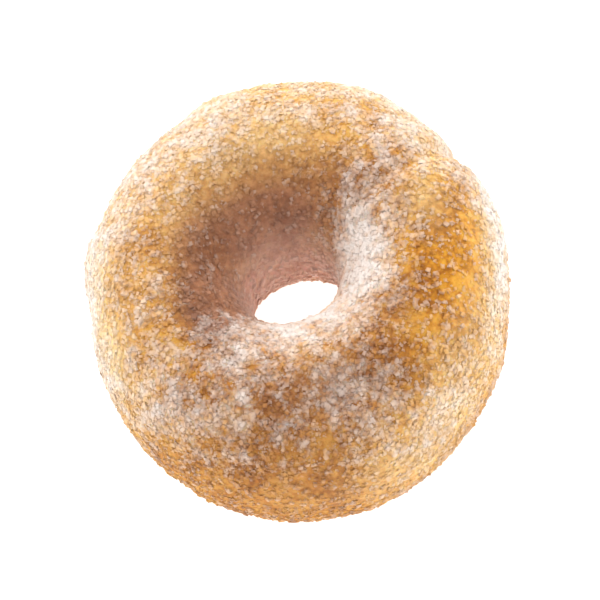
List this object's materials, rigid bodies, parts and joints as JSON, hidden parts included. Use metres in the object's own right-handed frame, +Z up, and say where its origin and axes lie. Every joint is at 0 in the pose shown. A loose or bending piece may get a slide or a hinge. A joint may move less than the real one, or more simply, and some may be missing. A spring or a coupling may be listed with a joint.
{
  "type": "mini sugar doughnut",
  "caption": "Small ring of fried dough with a narrow hole, an uneven golden crust and a coat of sugar; it lies flat on its underside.",
  "frame": {"origin": "under the middle of the whole outline, on the surface that the doughnut rests on", "axes": "+Z up through the hole; +Y from the near side in the picture to the far side, the doughnut's long way; +X to the right"},
  "size_m": [0.0548, 0.0592, 0.026],
  "materials": {
    "crust": null,
    "sugar": null
  },
  "bodies": {
    "root": {"doughnut": "crust"}
  },
  "joints": []
}
